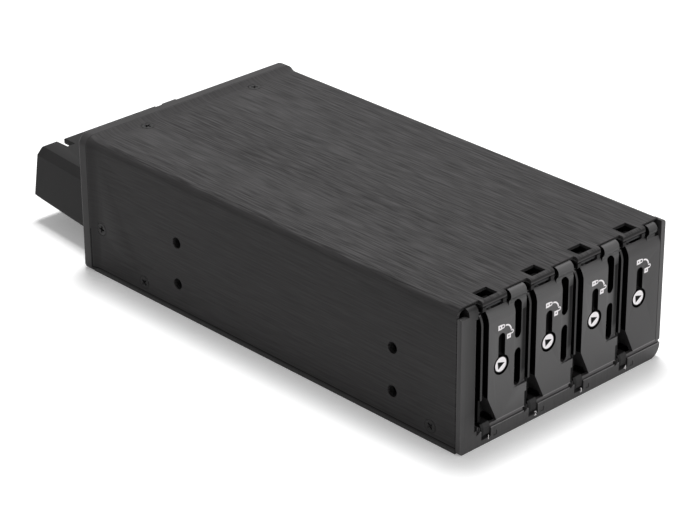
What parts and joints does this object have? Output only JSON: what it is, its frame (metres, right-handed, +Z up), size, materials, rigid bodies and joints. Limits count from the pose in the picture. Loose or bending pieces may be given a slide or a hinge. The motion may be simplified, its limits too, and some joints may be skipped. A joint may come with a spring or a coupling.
{
  "type": "hot swap drive cage",
  "caption": "Low brushed metal cage with upright hot swap trays for slim drive modules, each behind a hinged lever with a turning lock; a hooded socket panel at the rear.",
  "frame": {"origin": "on the underside of the base, midway between the left and right side hole patterns and midway between their front and rear holes", "axes": "-Y out of the front face where the levers are, +Y out of the rear through the cowl, +X to the right seen from the front, +Z up"},
  "size_m": [0.074, 0.1734, 0.0394],
  "materials": {
    "cover_finish": "black anodised, brushed along its length",
    "base_finish": "black powder coat",
    "bezel_finish": "black anodised, brushed upright",
    "panel_finish": "black satin paint",
    "cowl_plastic": "black moulded plastic",
    "guide_plastic": "black moulded plastic",
    "pipe_plastic": "clear moulded plastic",
    "board_laminate": "solder mask on laminate",
    "socket_plastic": "black moulded plastic",
    "shell_steel": "plated steel shell",
    "tray_metal": "black paint",
    "heat_aluminium": "black anodised",
    "pad_rubber": "soft grey pad",
    "screw_black": "black oxide",
    "lever_plastic": "fine satin grain",
    "lock_metal": "plated disc",
    "pin_steel": "ground steel pin",
    "catch_plastic": "black moulded plastic",
    "spring_steel": "spring steel leaf"
  },
  "bodies": {
    "cage": {"top_cover": "cover_finish", "base_tray": "base_finish", "front_bezel": "bezel_finish", "rear_panel": "panel_finish", "rear_cowl": "cowl_plastic", "upper_guide": "guide_plastic", "lower_guide": "guide_plastic", "light_pipes": "pipe_plastic", "backplane_board": "board_laminate", "power_socket": "socket_plastic", "side_screws": "screw_black", "top_screws": "screw_black", "cowl_screws": "screw_black", "edge_socket_1": "socket_plastic", "edge_socket_2": "socket_plastic", "edge_socket_3": "socket_plastic", "edge_socket_4": "socket_plastic", "data_socket_1": "shell_steel", "data_socket_2": "shell_steel", "data_socket_3": "shell_steel", "data_socket_4": "shell_steel"},
    "tray_body_1": {"tray_1": "tray_metal", "heat_plate_1": "heat_aluminium", "thermal_pad_1": "pad_rubber", "hinge_pin_1": "pin_steel"},
    "lever_body_1": {"lever_1": "lever_plastic"},
    "lock_body_1": {"lock_core_1": "lock_metal"},
    "catch_body_1": {"lever_catch_1": "catch_plastic", "catch_spring_1": "spring_steel"},
    "tray_body_2": {"tray_2": "tray_metal", "heat_plate_2": "heat_aluminium", "thermal_pad_2": "pad_rubber", "hinge_pin_2": "pin_steel"},
    "lever_body_2": {"lever_2": "lever_plastic"},
    "lock_body_2": {"lock_core_2": "lock_metal"},
    "catch_body_2": {"lever_catch_2": "catch_plastic", "catch_spring_2": "spring_steel"},
    "tray_body_3": {"tray_3": "tray_metal", "heat_plate_3": "heat_aluminium", "thermal_pad_3": "pad_rubber", "hinge_pin_3": "pin_steel"},
    "lever_body_3": {"lever_3": "lever_plastic"},
    "lock_body_3": {"lock_core_3": "lock_metal"},
    "catch_body_3": {"lever_catch_3": "catch_plastic", "catch_spring_3": "spring_steel"},
    "tray_body_4": {"tray_4": "tray_metal", "heat_plate_4": "heat_aluminium", "thermal_pad_4": "pad_rubber", "hinge_pin_4": "pin_steel"},
    "lever_body_4": {"lever_4": "lever_plastic"},
    "lock_body_4": {"lock_core_4": "lock_metal"},
    "catch_body_4": {"lever_catch_4": "catch_plastic", "catch_spring_4": "spring_steel"}
  },
  "joints": [
    {"name": "tray_slide_1", "type": "slide", "parent": "cage", "child": "tray_body_1", "axis": [0, -1, 0], "range_m": [0, 0.112]},
    {"name": "lever_hinge_1", "type": "hinge", "parent": "tray_body_1", "child": "lever_body_1", "pos_m": [-0.0224, -0.06082, 0.0361], "axis": [-1, 0, 0], "range_deg": [0, 90]},
    {"name": "lock_turn_1", "type": "hinge", "parent": "lever_body_1", "child": "lock_body_1", "pos_m": [-0.0224, -0.06212, 0.0196], "axis": [0, -1, 0], "range_deg": [0, 90]},
    {"name": "catch_press_1", "type": "slide", "parent": "cage", "child": "catch_body_1", "axis": [0, 0, -1], "range_m": [0, 0.0008], "stiffness_N_per_m": 300, "deforming": ["catch_spring_1"]},
    {"name": "tray_slide_2", "type": "slide", "parent": "cage", "child": "tray_body_2", "axis": [0, -1, 0], "range_m": [0, 0.112]},
    {"name": "lever_hinge_2", "type": "hinge", "parent": "tray_body_2", "child": "lever_body_2", "pos_m": [-0.0059, -0.06082, 0.0361], "axis": [-1, 0, 0], "range_deg": [0, 90]},
    {"name": "lock_turn_2", "type": "hinge", "parent": "lever_body_2", "child": "lock_body_2", "pos_m": [-0.0059, -0.06212, 0.0196], "axis": [0, -1, 0], "range_deg": [0, 90]},
    {"name": "catch_press_2", "type": "slide", "parent": "cage", "child": "catch_body_2", "axis": [0, 0, -1], "range_m": [0, 0.0008], "stiffness_N_per_m": 300, "deforming": ["catch_spring_2"]},
    {"name": "tray_slide_3", "type": "slide", "parent": "cage", "child": "tray_body_3", "axis": [0, -1, 0], "range_m": [0, 0.112]},
    {"name": "lever_hinge_3", "type": "hinge", "parent": "tray_body_3", "child": "lever_body_3", "pos_m": [0.0106, -0.06082, 0.0361], "axis": [-1, 0, 0], "range_deg": [0, 90]},
    {"name": "lock_turn_3", "type": "hinge", "parent": "lever_body_3", "child": "lock_body_3", "pos_m": [0.0106, -0.06212, 0.0196], "axis": [0, -1, 0], "range_deg": [0, 90]},
    {"name": "catch_press_3", "type": "slide", "parent": "cage", "child": "catch_body_3", "axis": [0, 0, -1], "range_m": [0, 0.0008], "stiffness_N_per_m": 300, "deforming": ["catch_spring_3"]},
    {"name": "tray_slide_4", "type": "slide", "parent": "cage", "child": "tray_body_4", "axis": [0, -1, 0], "range_m": [0, 0.112]},
    {"name": "lever_hinge_4", "type": "hinge", "parent": "tray_body_4", "child": "lever_body_4", "pos_m": [0.0271, -0.06082, 0.0361], "axis": [-1, 0, 0], "range_deg": [0, 90]},
    {"name": "lock_turn_4", "type": "hinge", "parent": "lever_body_4", "child": "lock_body_4", "pos_m": [0.0271, -0.06212, 0.0196], "axis": [0, -1, 0], "range_deg": [0, 90]},
    {"name": "catch_press_4", "type": "slide", "parent": "cage", "child": "catch_body_4", "axis": [0, 0, -1], "range_m": [0, 0.0008], "stiffness_N_per_m": 300, "deforming": ["catch_spring_4"]}
  ]
}
